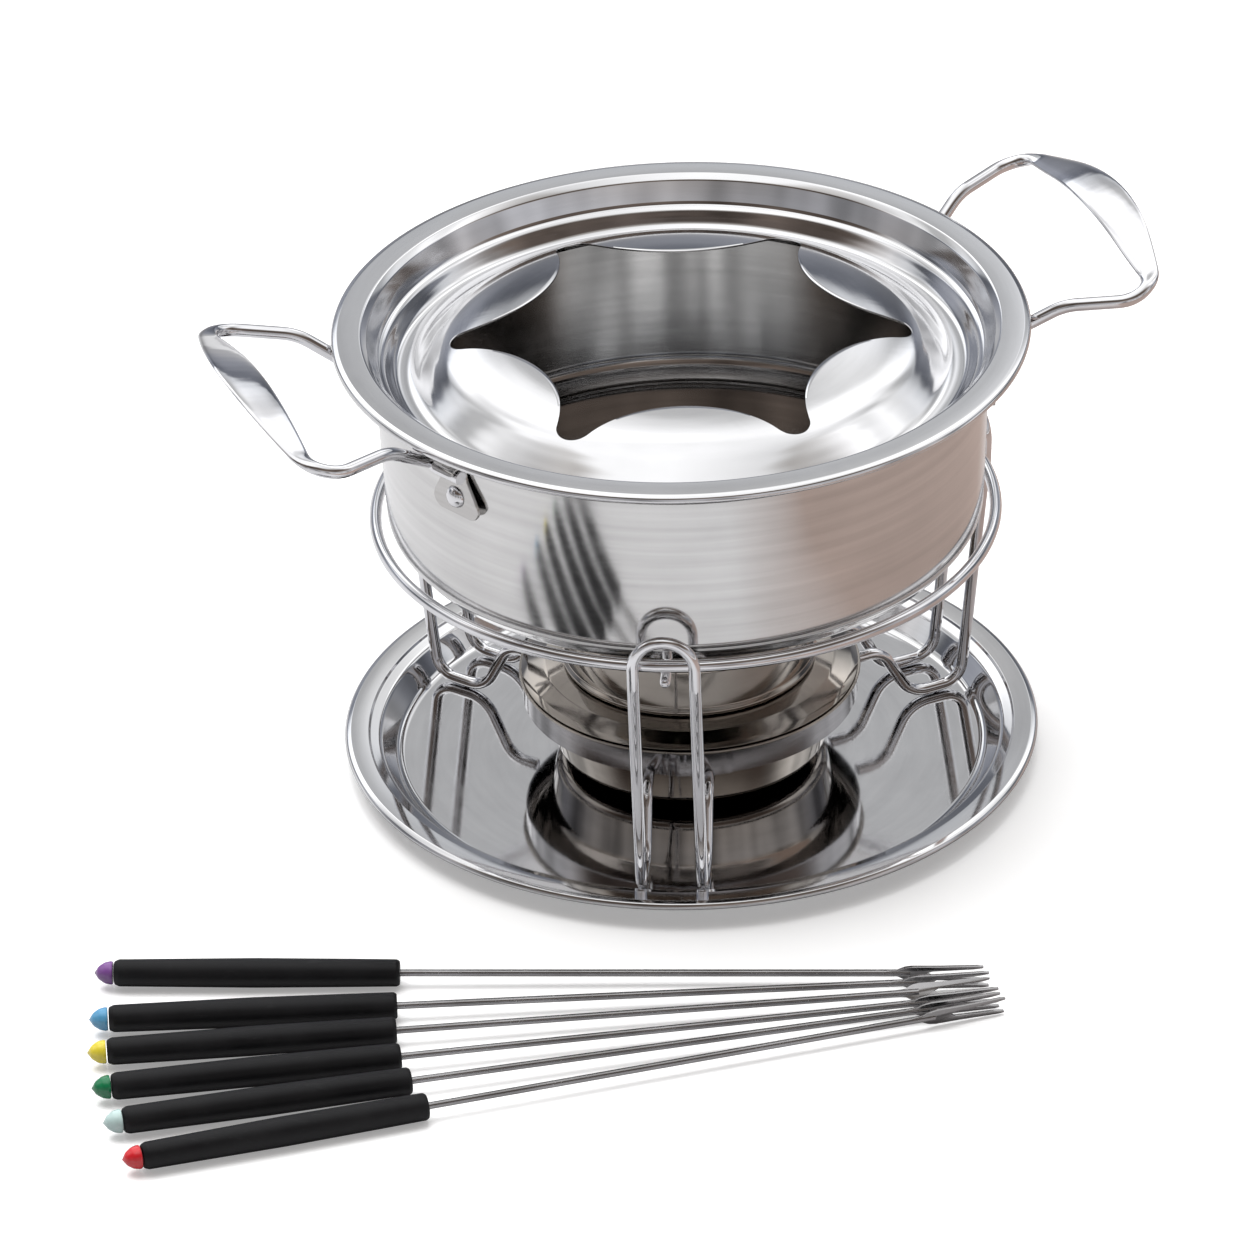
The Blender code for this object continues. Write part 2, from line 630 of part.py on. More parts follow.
def main():
    clear_scene()
    polished = material("polished_steel", (0.78, 0.78, 0.79), 1.0, 0.08)
    brushed = material("brushed_steel", (0.74, 0.74, 0.75), 1.0, 0.18)
    chrome = material("chromed_wire", (0.80, 0.80, 0.82), 1.0, 0.06)
    steel = material("fork_steel", (0.72, 0.72, 0.73), 1.0, 0.15)
    felt = material("burner_wadding", (0.75, 0.72, 0.66), 0.0, 0.95)
    gauze = material("burner_gauze", (0.55, 0.53, 0.50), 1.0, 0.4)
    grip = material("fork_grip_black", (0.02, 0.02, 0.022), 0.0, 0.55)
    build_tray(polished)
    build_stand(chrome)
    build_pot(brushed)
    build_lid(polished)
    build_handles(chrome)
    build_burner(polished, polished, felt, gauze)
    build_forks(steel, grip)
    bpy.context.view_layer.update()
    for made in PARTS.objects:
        if made.modifiers:
            settle(made)


main()
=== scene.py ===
"""Looks of the fondue pot set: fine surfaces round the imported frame, materials, light and camera."""

import math

import bmesh
import bpy
from mathutils import Matrix, Vector


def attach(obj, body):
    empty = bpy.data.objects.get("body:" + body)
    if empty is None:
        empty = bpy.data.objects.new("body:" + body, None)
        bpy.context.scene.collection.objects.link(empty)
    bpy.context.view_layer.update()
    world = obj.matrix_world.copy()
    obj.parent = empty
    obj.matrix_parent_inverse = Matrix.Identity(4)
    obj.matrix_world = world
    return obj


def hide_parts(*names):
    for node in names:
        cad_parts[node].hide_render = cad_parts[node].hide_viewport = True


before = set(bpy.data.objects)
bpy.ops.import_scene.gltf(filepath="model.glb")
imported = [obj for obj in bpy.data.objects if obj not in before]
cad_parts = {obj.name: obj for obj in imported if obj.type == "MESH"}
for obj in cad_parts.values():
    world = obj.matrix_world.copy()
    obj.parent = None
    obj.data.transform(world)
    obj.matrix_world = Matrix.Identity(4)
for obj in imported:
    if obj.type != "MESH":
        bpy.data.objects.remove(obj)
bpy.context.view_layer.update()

# Lengths are in millimetres and angles in degrees up to the point where meshes are made.
MM = 0.001
STEPS = 288

HANDLE_ANGLES = {"right": 21.3, "left": 201.3}
LEG_ANGLES = {"front": -94.5, "right": 25.5, "left": 145.5}
BRACKET_ANGLE = 22.7
BRACKET_SHEET = 1.0
RIVET_HEIGHT = 119.8
POT_WALL = 87.35
SEAT_HEIGHT = 128.4
HANDLE_RADIUS = 1.9
BLADE_HALF_LENGTH = 45.0
RING_RADIUS = 88.3
RING_HEIGHT = 79.3
RING_WIRE_RADIUS = 1.8
LEG_WIRE_RADIUS = 1.7
LEG_SPREAD = 8.6
LEG_TOP = (92.3, 80.6)
PIN_HEIGHT = 73.8
BAND_TOP = 26.4
BAND_FOOT = 19.0
BURNER_STEPS = 192
VENTS = 8
FORK_GRIP_RADIUS = 4.15
FORK_GRIP_LENGTH = 79.5
FORK_NECK_HEIGHT = 3.46
FORK_HEAD_WIDTH = 5.2
FORK_HEAD_LENGTH = 24.5
FORK_HEAD_SHEET = 0.8

# Lays a turned piece's own axis along X.
ALONG_X = Matrix(((0, 0, 1, 0), (0, 1, 0, 0), (-1, 0, 0, 0), (0, 0, 0, 1)))

# Brightness of the surround by elevation: 0 is straight down, 0.5 the horizon and 1 straight up.
BEHIND_SKY = [
    (0.0, (0.8, 0.8, 0.8)),
    (0.49, (0.8, 0.8, 0.8)),
    (0.51, (0.40, 0.40, 0.41)),
    (0.57, (0.24, 0.25, 0.28)),
    (0.618, (0.16, 0.17, 0.20)),
    (0.634, (0.80, 0.82, 0.85)),
    (0.66, (0.93, 0.94, 0.96)),
    (0.70, (1.12, 1.12, 1.12)),
    (0.80, (1.30, 1.30, 1.30)),
    (1.0, (1.35, 1.35, 1.35)),
]
FRONT_SKY = [
    (0.0, (0.8, 0.8, 0.8)),
    (0.49, (0.8, 0.8, 0.8)),
    (0.51, (0.34, 0.32, 0.31)),
    (0.58, (0.40, 0.40, 0.42)),
    (0.62, (0.30, 0.28, 0.27)),
    (0.66, (0.12, 0.095, 0.08)),
    (0.78, (0.10, 0.08, 0.07)),
    (0.84, (0.55, 0.52, 0.49)),
    (0.88, (1.3, 1.3, 1.3)),
    (1.0, (1.35, 1.35, 1.35)),
]
# The floor as the camera sees it, and the darker tone it shows in reflections and bounced light: a painted
# reflection of a room, warmer towards +X.
FLOOR_SEEN = ((0.80, 0.80, 0.80), (0.83, 0.83, 0.83))
FLOOR_PAINTED_REFLECTION = ((0.55, 0.55, 0.56), (0.34, 0.27, 0.24))


# ---------------------------------------------------------------- geometry


def lerp(a, b, t):
    return a + (b - a) * t


def smoothstep(t):
    t = min(max(t, 0.0), 1.0)
    return t * t * (3 - 2 * t)


def rounded(points, radius, steps=4):
    """A polyline in two or three dimensions, with each corner rounded as far as its neighbours leave room."""
    path = [Vector(p) for p in points]
    found = [path[0]]
    for i in range(1, len(path) - 1):
        size = radius[i] if isinstance(radius, (list, tuple)) else radius
        a, c, b = path[i - 1], path[i], path[i + 1]
        one, two = a - c, b - c
        if size <= 0 or one.length < 1e-6 or two.length < 1e-6:
            found.append(c)
            continue
        half = one.angle(two) / 2
        if half > math.radians(89.2):
            found.append(c)
            continue
        reach = min(size / math.tan(half), one.length * 0.49, two.length * 0.49)
        size = reach * math.tan(half)
        middle = c + (one.normalized() + two.normalized()).normalized() * (size / math.sin(half))
        start = c + one.normalized() * reach - middle
        end = c + two.normalized() * reach - middle
        spread = start.angle(end)
        for k in range(steps + 1):
            t = k / steps
            found.append(
                middle
                + start * (math.sin((1 - t) * spread) / math.sin(spread))
                + end * (math.sin(t * spread) / math.sin(spread))
            )
    found.append(path[-1])
    return found


def spline(knots, steps):
    """A smooth line through the knots."""
    path = [Vector(k) for k in knots]
    path = [2 * path[0] - path[1]] + path + [2 * path[-1] - path[-2]]
    found = []
    for i in range(1, len(path) - 2):
        a, b, c, d = path[i - 1 : i + 3]
        for k in range(steps):
            t = k / steps
            square = (2 * a - 5 * b + 4 * c - d) * t ** 2
            cube = (3 * b - a - 3 * c + d) * t ** 3
            found.append(0.5 * (2 * b + (c - a) * t + square + cube))
    found.append(path[-2])
    return found


def offset(points, distance):
    """The polyline moved to the right of its own direction."""
    moved = []
    for i, p in enumerate(points):
        first = p - points[i - 1] if i else points[1] - p
        second = points[i + 1] - p if i + 1 < len(points) else first
        one = Vector((first.y, -first.x)).normalized()
        two = Vector((second.y, -second.x)).normalized()
        miter = (one + two).normalized()
        moved.append(p + miter * (distance / max(miter.dot(one), 0.5)))
    return moved


def arc(centre, radius, start, end, steps):
    found = []
    for i in range(steps + 1):
        a = math.radians(lerp(start, end, i / steps))
        found.append(Vector((centre[0] + radius * math.cos(a), centre[1] + radius * math.sin(a))))
    return found


def turned(degrees, along=0.0, across=0.0, height=0.0):
    place = Matrix.Translation((along * MM, across * MM, height * MM))
    return Matrix.Rotation(math.radians(degrees), 4, "Z") @ place


def mesh_object(name, shape, degrees=35, place=None):
    bmesh.ops.remove_doubles(shape, verts=shape.verts, dist=1e-7)
    bmesh.ops.recalc_face_normals(shape, faces=shape.faces)
    if place is not None:
        bmesh.ops.transform(shape, matrix=place, verts=shape.verts)
    mesh = bpy.data.meshes.new(name)
    shape.to_mesh(mesh)
    shape.free()
    mesh.shade_smooth()
    mesh.set_sharp_from_angle(angle=math.radians(degrees))
    made = bpy.data.objects.new(name, mesh)
    bpy.context.scene.collection.objects.link(made)
    return made


def grid(name, rows, around=False, loop=False, caps=False, degrees=35, place=None):
    """Skins rows of points. around closes each row, loop joins last row to first, caps fills the ends."""
    shape = bmesh.new()
    made = [[shape.verts.new(Vector(p) * MM) for p in row] for row in rows]
    pairs = list(zip(made, made[1:]))
    if loop:
        pairs.append((made[-1], made[0]))
    count = len(rows[0])
    for one, two in pairs:
        for k in range(count if around else count - 1):
            j = (k + 1) % count
            shape.faces.new((one[k], one[j], two[j], two[k]))
    if caps:
        shape.faces.new(made[0])
        shape.faces.new(list(reversed(made[-1])))
    return mesh_object(name, shape, degrees, place)


def turn(name, profile, steps=STEPS, ring=False, degrees=35, place=None):
    """A turned piece. The profile is (radius, height) in millimetres; a ring's profile is closed."""
    rows = []
    for radius, height in profile:
        row = []
        for i in range(steps):
            a = math.tau * i / steps
            row.append((radius * math.cos(a), radius * math.sin(a), height))
        rows.append(row)
    return grid(name, rows, around=True, loop=ring, degrees=degrees, place=place)


def tube(name, path, section, sides=20, closed=False, place=None, degrees=50):
    """A bar along the path. section gives half width, half thickness, the way up or None, and squareness."""
    rows = []
    count = len(path)
    side = None
    for i, p in enumerate(path):
        before = path[i - 1] if closed or i else path[0]
        after = path[(i + 1) % count] if closed or i + 1 < count else path[-1]
        tangent = (after - before).normalized()
        half_width, half_height, up, square = section(i)
        if up is None:
            if side is None:
                seed = Vector((0, 0, 1)) if abs(tangent.z) < 0.9 else Vector((1, 0, 0))
                side = tangent.cross(seed).normalized()
            side = (side - tangent * side.dot(tangent)).normalized()
        else:
            side = tangent.cross(up).normalized()
        lift = side.cross(tangent).normalized()
        row = []
        for k in range(sides):
            a = math.tau * (k + 0.5) / sides
            c, s = math.cos(a), math.sin(a)
            x = math.copysign(abs(c) ** square, c) * half_width
            y = math.copysign(abs(s) ** square, s) * half_height
            row.append(p + side * x + lift * y)
        rows.append(row)
    return grid(name, rows, around=True, loop=closed, caps=not closed, degrees=degrees, place=place)


def wire(name, path, radius, sides=20, closed=False, place=None, dome=True):
    """A round wire with softly rounded ends."""
    count = len(path)
    if dome and not closed:
        first = (path[1] - path[0]).normalized()
        last = (path[-1] - path[-2]).normalized()
        head = [path[0] + first * d for d in (0.0, 0.12, 0.4)]
        tail = [path[-1] - last * d for d in (0.4, 0.12, 0.0)]
        path = head + list(path[1:-1]) + tail
        count = len(path)

    def section(i):
        size = radius
        if dome and not closed:
            size = radius * {0: 0.72, 1: 0.9}.get(min(i, count - 1 - i), 1.0)
        return size, size, None, 1.0

    return tube(name, path, section, sides, closed, place)


def plate(name, outline, thickness, edge=0.15, place=None, holes=()):
    """A flat piece cut from sheet: an outline in XY given thickness and softened edges."""
    curve = bpy.data.curves.new(name, "CURVE")
    curve.dimensions = "2D"
    curve.fill_mode = "BOTH"
    curve.extrude = thickness / 2 * MM
    for line in (outline, *holes):
        spline_made = curve.splines.new("POLY")
        spline_made.points.add(len(line) - 1)
        for point, p in zip(spline_made.points, line):
            point.co = (p[0] * MM, p[1] * MM, 0.0, 1.0)
        spline_made.use_cyclic_u = True
    holder = bpy.data.objects.new(name, curve)
    bpy.context.scene.collection.objects.link(holder)
    bpy.context.view_layer.update()
    mesh = bpy.data.meshes.new_from_object(holder.evaluated_get(bpy.context.evaluated_depsgraph_get()))
    bpy.data.objects.remove(holder, do_unlink=True)
    shape = bmesh.new()
    shape.from_mesh(mesh)
    bmesh.ops.remove_doubles(shape, verts=shape.verts, dist=1e-6)
    bmesh.ops.dissolve_limit(shape, angle_limit=0.001, verts=shape.verts, edges=shape.edges)
    if edge > 0:
        rim = [
            e
            for e in shape.edges
            if len(e.link_faces) == 2
            and e.calc_face_angle(0) > math.radians(60)
            and abs(e.verts[0].co.z - e.verts[1].co.z) < 1e-7
        ]
        bmesh.ops.bevel(
            shape, geom=rim, offset=edge * MM, segments=2, profile=0.5, affect="EDGES", clamp_overlap=True
        )
    return mesh_object(name, shape, 35, place)


def finish_piece(made, body, slot, material, *nodes):
    made.data.materials.clear()
    made.data.materials.append(material)
    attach(made, body)
    if nodes:
        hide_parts(*nodes)
    return made


# ---------------------------------------------------------------- materials


class Nodes:
    """A short way to write a material's node tree."""

    def __init__(self, name):
        self.material = bpy.data.materials.new(name)
        self.material.use_nodes = True
        self.tree = self.material.node_tree
        self.shader = self.tree.nodes["Principled BSDF"]
        self.coords = self.tree.nodes.new("ShaderNodeTexCoord").outputs["Object"]

    def add(self, kind, inputs=(), **settings):
        node = self.tree.nodes.new("ShaderNode" + kind)
        for key, value in settings.items():
            setattr(node, key, value)
        for key, value in dict(inputs).items():
            if isinstance(value, bpy.types.NodeSocket):
                self.tree.links.new(value, node.inputs[key])
            else:
                node.inputs[key].default_value = value
        return node

    def math(self, operation, a, b=0.0):
        return self.add("Math", {0: a, 1: b}, operation=operation).outputs[0]

    def scaled(self, x, y, z):
        return self.add("VectorMath", {0: self.coords, 1: (x, y, z)}, operation="MULTIPLY").outputs[0]

    def noise(self, vector, scale, detail=3.0, roughness=0.5):
        inputs = {"Vector": vector, "Scale": scale, "Detail": detail, "Roughness": roughness}
        return self.add("TexNoise", inputs).outputs["Fac"]

    def ramp(self, fac, stops):
        node = self.add("ValToRGB", {"Fac": fac})
        ramp = node.color_ramp
        while len(ramp.elements) < len(stops):
            ramp.elements.new(0.5)
        for element, (place, colour) in zip(ramp.elements, stops):
            element.position = place
            grey = colour if isinstance(colour, tuple) else (colour, colour, colour)
            element.color = (*grey, 1.0)
        return node.outputs["Color"]

    def remap(self, value, low, high, start=0.0, end=1.0):
        inputs = {"Value": value, "From Min": start, "From Max": end, "To Min": low, "To Max": high}
        return self.add("MapRange", inputs).outputs["Result"]

    def mix(self, fac, a, b):
        node = self.add("Mix", {0: fac}, data_type="RGBA")
        for key, value in ((6, a), (7, b)):
            if isinstance(value, bpy.types.NodeSocket):
                self.tree.links.new(value, node.inputs[key])
            else:
                node.inputs[key].default_value = (*value, 1.0)
        return node.outputs[2]

    def to(self, key, value):
        if isinstance(value, bpy.types.NodeSocket):
            self.tree.links.new(value, self.shader.inputs[key])
        else:
            self.shader.inputs[key].default_value = value

    def bump(self, height, strength, distance, below=None):
        inputs = {"Height": height, "Strength": strength, "Distance": distance * MM}
        if below is not None:
            inputs["Normal"] = below
        return self.add("Bump", inputs).outputs["Normal"]

    def round_coords(self, radial, vertical, around):
        """Coordinates that change fast across a turned surface and slowly round it, with no seam."""
        split = self.add("SeparateXYZ", {0: self.coords}).outputs
        flat = self.add("CombineXYZ", {0: split[0], 1: split[1], 2: 0.0}).outputs[0]
        length = self.add("VectorMath", {0: flat}, operation="LENGTH").outputs["Value"]
        reach = self.math("MAXIMUM", length, 1e-4)
        outward, upward = self.math("MULTIPLY", length, radial), self.math("MULTIPLY", split[2], vertical)
        fine = self.math("ADD", outward, upward)
        x = self.math("MULTIPLY", self.math("DIVIDE", split[0], reach), around)
        y = self.math("MULTIPLY", self.math("DIVIDE", split[1], reach), around)
        return self.add("CombineXYZ", {0: fine, 1: x, 2: y}).outputs[0]


def turned_steel(name, colour, dark, rough, lines=2600.0, bump=0.05, smears=0.05, anisotropic=0.0, around=3.0):
    """Spun or polished sheet: very fine turning lines, wiping smears and a few hairline marks."""
    n = Nodes(name)
    lanes = n.round_coords(lines, lines, around)
    fine = n.noise(lanes, 1.0, 2.0, 0.6)
    wide = n.noise(n.round_coords(lines * 0.11, lines * 0.11, around * 0.7), 1.0, 3.0, 0.55)
    cloud = n.noise(n.coords, 28.0, 4.0, 0.6)
    mottle = n.noise(n.scaled(1, 1, 0.6), 95.0, 3.0, 0.55)
    blotch = n.math("ADD", n.math("MULTIPLY", wide, 0.6), n.math("MULTIPLY", cloud, 0.4))
    tone = n.remap(blotch, 0.0, 1.0, 0.32, 0.68)
    n.to("Base Color", n.mix(tone, dark, colour))
    n.to("Metallic", 1.0)
    worn = n.math("ADD", n.remap(cloud, 0.0, smears, 0.42, 0.66), n.remap(mottle, 0.0, smears * 0.5, 0.45, 0.7))
    n.to("Roughness", n.math("ADD", n.remap(fine, rough * 0.8, rough * 1.25, 0.3, 0.7), worn))
    scratch = n.noise(n.scaled(60, 900, 400), 1.0, 1.0)
    marks = n.remap(scratch, 0.0, 1.0, 0.70, 0.74)
    uneven = n.math("ADD", n.math("MULTIPLY", wide, 0.5), n.math("MULTIPLY", marks, -0.4))
    height = n.math("ADD", n.math("MULTIPLY", fine, 0.6), uneven)
    n.to("Normal", n.bump(height, bump, 0.05))
    if anisotropic:
        n.to("Anisotropic", anisotropic)
        n.to("Tangent", n.add("Tangent", direction_type="RADIAL", axis="Z").outputs[0])
    return n.material


def bright_wire(name, colour, dark, rough):
    """Plated or polished wire: drawn lines too fine to see, soft ripples and small dull spots."""
    n = Nodes(name)
    ripple = n.noise(n.coords, 160.0, 2.0)
    spots = n.noise(n.coords, 900.0, 3.0, 0.6)
    cloud = n.noise(n.coords, 45.0, 3.0)
    n.to("Base Color", n.mix(n.remap(cloud, 0.0, 1.0, 0.35, 0.65), dark, colour))
    n.to("Metallic", 1.0)
    dull = n.remap(cloud, 0.0, 0.04, 0.45, 0.7)
    n.to("Roughness", n.math("ADD", n.remap(spots, rough * 0.8, rough * 1.5, 0.4, 0.75), dull))
    n.to("Normal", n.bump(ripple, 0.10, 0.10, n.bump(spots, 0.05, 0.02)))
    return n.material


def moulded(name, colour, dark, rough, grain, depth, coat=0.0, gloss=0.5):
    """Moulded plastic: fine grain, a little uneven sheen and pale rubs."""
    n = Nodes(name)
    fine = n.noise(n.coords, grain, 3.0, 0.6)
    cloud = n.noise(n.coords, 60.0, 4.0, 0.6)
    rub = n.noise(n.scaled(0.35, 1.0, 1.0), 260.0, 5.0, 0.7)
    worn = n.remap(rub, 0.0, 1.0, 0.60, 0.80)
    pale = tuple(min(1.0, c * 1.5 + 0.012) for c in colour)
    plain = n.mix(n.remap(cloud, 0.0, 1.0, 0.35, 0.65), dark, colour)
    n.to("Base Color", n.mix(n.math("MULTIPLY", worn, 0.5), plain, pale))
    sheen = n.remap(cloud, rough * 0.85, rough * 1.15, 0.35, 0.7)
    n.to("Roughness", n.math("ADD", sheen, n.remap(fine, -0.03, 0.03)))
    n.to("Coat Weight", coat)
    n.to("Specular IOR Level", gloss)
    n.to("Normal", n.bump(fine, depth, 0.05, n.bump(cloud, 0.04, 0.2)))
    return n.material


def felt_material():
    """Off-white mineral wool: loose fibres over soft lumps."""
    n = Nodes("burner_wadding_wool")
    fibre = n.noise(n.coords, 700.0, 6.0, 0.7)
    lumps = n.noise(n.coords, 120.0, 4.0, 0.6)
    n.to("Base Color", n.mix(n.remap(lumps, 0.0, 1.0, 0.35, 0.65), (0.52, 0.48, 0.42), (0.80, 0.77, 0.70)))
    n.to("Roughness", n.remap(fibre, 0.85, 1.0))
    n.to("Sheen Weight", 0.3)
    n.to("Normal", n.bump(fibre, 0.6, 0.3, n.bump(lumps, 0.5, 1.0)))
    return n.material


def gauze_material():
    """Woven wire, heat stained in patches, with painted shade in the gaps between the threads."""
    n = Nodes("burner_gauze_weave")
    thread = {"Vector": n.coords, "Scale": 320.0}
    warp = n.add("TexWave", thread, wave_type="BANDS", bands_direction="X").outputs["Fac"]
    weft = n.add("TexWave", thread, wave_type="BANDS", bands_direction="Y").outputs["Fac"]
    weave = n.math("MAXIMUM", warp, weft)
    stain = n.noise(n.coords, 70.0, 4.0)
    metal = n.mix(n.remap(stain, 0.0, 1.0, 0.4, 0.6), (0.30, 0.24, 0.19), (0.58, 0.56, 0.53))
    # The near-black between the threads is painted shade in the gaps of the weave.
    n.to("Base Color", n.mix(n.remap(weave, 0.0, 1.0, 0.35, 0.8), (0.05, 0.045, 0.04), metal))
    n.to("Metallic", 0.85)
    n.to("Roughness", n.remap(stain, 0.35, 0.6))
    n.to("Normal", n.bump(weave, 0.8, 0.25))
    return n.material


# ---------------------------------------------------------------- pieces


def build_tray(steel):
    """A dished round tray with a flat rim that is rolled at its edge."""
    top = [(0, 0.8), (83.2, 0.8), (85.0, 1.2), (89.6, 7.2), (92.7, 7.75), (93.15, 8.45)]
    top += [(98.2, 8.8), (99.5, 8.4)]
    edge = [(100.1, 7.4), (99.6, 6.5), (98.9, 6.4)]
    under = [(97.8, 7.9), (93.4, 7.6), (92.9, 6.95), (89.2, 6.3), (84.7, 0.3), (83.2, 0.0), (0, 0)]
    radii = [0, 5, 3, 2.2, 0.35, 0.35, 0.9, 0.9, 0.6, 0.5, 0.4, 0.5, 0.4, 0.4, 1.8, 3.4, 5, 0]
    profile = rounded(top + edge + under, radii, 5)
    made = turn("tray_polished", profile, STEPS, degrees=50)
    finish_piece(made, "tray", "polished_steel", steel, "tray")


def build_stand(chrome, strip):
    """The ring, three hairpin legs with their inward arms, three pins for the pot and the burner's band."""
    turns = [math.tau * i / STEPS for i in range(STEPS)]
    ring = [Vector((RING_RADIUS * math.cos(a), RING_RADIUS * math.sin(a), RING_HEIGHT)) for a in turns]
    made = wire("stand_ring_wire", ring, RING_WIRE_RADIUS, 20, closed=True)
    finish_piece(made, "stand", "chromed_wire", chrome, "stand_ring")

    out, high = LEG_TOP
    side = [LEG_TOP, (92.0, 74.0), (83.2, 2.8), (66.6, 2.8), (57.6, 19.6), (48.5, 19.6)]
    line = rounded([(u, LEG_SPREAD, z) for u, z in side], [0, 20, 6.5, 9.0, 8.0, 0], 8)
    bow = [math.pi * i / 24 for i in range(1, 24)]
    arch = [Vector((out, LEG_SPREAD * math.cos(a), high + LEG_SPREAD * math.sin(a))) for a in bow]
    other = [Vector((p.x, -p.y, p.z)) for p in line]
    hairpin = list(reversed(line)) + arch + other
    for name, degrees in LEG_ANGLES.items():
        made = wire("stand_leg_wire_" + name, hairpin, LEG_WIRE_RADIUS, 20, place=turned(degrees))
        finish_piece(made, "stand", "chromed_wire", chrome, "stand_leg_" + name)

        profile = [(0, 89.5), (0.7, 89.35), (1.2, 88.9), (1.5, 88.2), (1.5, 77.5), (1.2, 77.0), (0, 77.0)]
        place = turned(degrees, height=PIN_HEIGHT) @ ALONG_X
        made = turn("pot_support_pin_wire_" + name, profile, 24, place=place)
        finish_piece(made, "stand", "chromed_wire", chrome, "pot_support_pin_" + name)

    build_band(strip)


def build_band(strip):
    """A strip bent into a ring: its rounded end laps over its start and is held by two spot welds."""
    rows = []
    start, finish, lap = -94.0, 284.0, 18.0
    count = 420
    for i in range(count + 1):
        degrees = lerp(start, finish, i / count)
        a = math.radians(degrees)
        away = 0.62 * smoothstep((degrees - (finish - lap - 4.0)) / 4.0)
        rest = min(degrees - start, finish - degrees) * math.radians(1) * 48
        cut = 1.6 - math.sqrt(max(0.0, 1.6 ** 2 - max(0.0, 1.6 - rest) ** 2))
        for weld in (finish - 2.6, finish - lap + 2.6):
            spot = ((degrees - weld) / 1.3) ** 2
            away -= 0.0 if spot > 4 else 0.16 * math.exp(-spot)
        high, low = BAND_TOP - cut, BAND_FOOT + cut
        line = [(48.4, high - 0.2), (48.4, low + 0.2), (48.15, low)]
        line += [(47.9, low + 0.2), (47.9, high - 0.2), (48.15, high)]
        rows.append([((r + away - 0.15) * math.cos(a), (r + away - 0.15) * math.sin(a), z) for r, z in line])
    made = grid("burner_band_strip", rows, around=True, caps=True, degrees=40)
    # Its material is a darker copy of the strap steel, painted shade for its place under the pot.
    finish_piece(made, "stand", "satin_strip", strip, "burner_band")


def build_pot(steel):
    """One turned shell: flat floor, upright wall and a flared mouth with a rolled lip."""
    inner = [(0, 76.4), (77.6, 76.4), (84.0, 80.5), (86.25, 130.2), (86.95, 131.5), (89.35, 137.1)]
    inner += [(90.6, 138.1), (93.2, 138.1)]
    lip = [(94.1, 137.2), (93.8, 135.9), (92.6, 135.7), (92.0, 136.9)]
    outer = [(90.4, 136.9), (87.85, 131.3), (87.0, 130.1), (84.85, 82.0), (79.6, 75.6), (0, 75.6)]
    radii = [0, 5.5, 5.5, 1.2, 1.2, 1.0, 0.6, 0.7, 0.6, 0.5, 0.5, 0.4, 0.8, 1.0, 1.0, 6.5, 6.5, 0]
    profile = rounded(inner + lip + outer, radii, 6)
    made = turn("pot_shell", profile, STEPS, degrees=50)
    finish_piece(made, "pot", "brushed_steel", steel, "pot")


def star_radius(angle):
    """Distance from the axis to the star's edge at an angle: six round tips, and round petals between them."""
    tip_centre, tip_radius, petal_centre = 59.7, 5.3, 83.7
    gap = math.hypot(petal_centre * math.cos(math.pi / 6) - tip_centre, petal_centre * 0.5)
    petal_radius = gap - tip_radius
    near = angle % (math.pi / 3)
    near = min(near, math.pi / 3 - near)
    join = math.atan2(
        tip_radius * petal_centre * 0.5 / gap,
        tip_centre + tip_radius * (petal_centre * math.cos(math.pi / 6) - tip_centre) / gap,
    )
    if near <= join:
        inside = tip_radius ** 2 - (tip_centre * math.sin(near)) ** 2
        return tip_centre * math.cos(near) + math.sqrt(max(inside, 0.0))
    swing = math.pi / 6 - near
    inside = petal_radius ** 2 - (petal_centre * math.sin(swing)) ** 2
    return petal_centre * math.cos(swing) - math.sqrt(max(inside, 0.0))


def build_lid(steel):
    """The splash guard: a domed sheet with a star cut from its middle, a sunken groove and a wide rim."""
    knots = [(36, 138.25), (40, 138.0), (46, 137.6), (52, 137.0), (59.5, 135.8), (65.8, 133.9), (69.6, 131.5)]
    knots += [(73.0, 128.9), (75.6, 127.0), (78.0, 126.4), (80.6, 126.7), (82.4, 128.5), (83.8, 130.3)]
    knots += [(84.7, 130.9)]
    dome = spline(knots, 6)
    corners = [(84.7, 130.9), (85.6, 131.1), (86.2, 132.0), (88.5, 137.7), (90.3, 139.1), (96.8, 138.95)]
    corners += [(98.3, 138.6), (98.7, 137.6), (98.5, 136.9)]
    rim = rounded(corners, [0, 0.8, 0.8, 1.2, 1.4, 2.0, 0.8, 0.6, 0], 4)
    flat = [p for p in dome if p.x > 67.0]
    fixed = flat + rim[1:]

    def height(r):
        for a, b in zip(dome, dome[1:]):
            if a.x <= r <= b.x:
                return lerp(a.y, b.y, (r - a.x) / (b.x - a.x))
        return dome[0].y

    sheet = 0.6
    under_fixed = offset(fixed, sheet)
    steps = 720
    bands = 16
    columns = []
    for i in range(steps):
        a = math.tau * i / steps
        edge = star_radius(a)
        line = []
        for k in range(bands):
            r = lerp(edge + 0.12, fixed[0].x, k / bands)
            line.append((r, height(r)))
        top = line + [tuple(p) for p in fixed]
        low = [(r, z - sheet) for r, z in line] + [tuple(p) for p in under_fixed]
        lip = [(edge, height(edge) - 0.12), (edge, height(edge) - sheet + 0.12)]
        loop = top + [(98.2, 136.75)] + list(reversed(low)) + list(reversed(lip))
        columns.append([(r * math.cos(a), r * math.sin(a), z) for r, z in loop])
    made = grid("splash_guard_sheet", columns, around=True, loop=True, degrees=60)
    finish_piece(made, "splash_guard", "polished_steel", steel, "splash_guard_lid")


